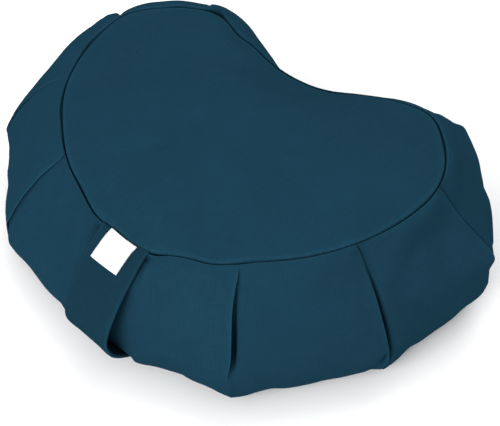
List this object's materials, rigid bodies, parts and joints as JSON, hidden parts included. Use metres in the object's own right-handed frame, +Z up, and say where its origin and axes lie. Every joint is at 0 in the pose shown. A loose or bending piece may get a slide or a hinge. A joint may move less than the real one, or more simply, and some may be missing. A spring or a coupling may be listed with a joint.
{
  "type": "crescent meditation cushion",
  "caption": "Crescent floor cushion with a crowned top, a knife-pleated side wall, a flat base and a wide loop handle with a blank sewn label.",
  "frame": {"origin": "bottom centre of the bounding box, on the surface that the cushion rests on", "axes": "+X from the left lobe to the right lobe, +Y towards the hollow between the lobes, +Z up; the handle faces -Y"},
  "size_m": [0.4354, 0.3566, 0.1427],
  "materials": {
    "teal_canvas": "dyed cotton canvas, matt, plain weave",
    "white_label": "woven satin label, blank"
  },
  "bodies": {
    "root": {"top_panel": "teal_canvas", "side_wall": "teal_canvas", "base_panel": "teal_canvas", "carry_handle": "teal_canvas", "sewn_label": "white_label"}
  },
  "joints": []
}
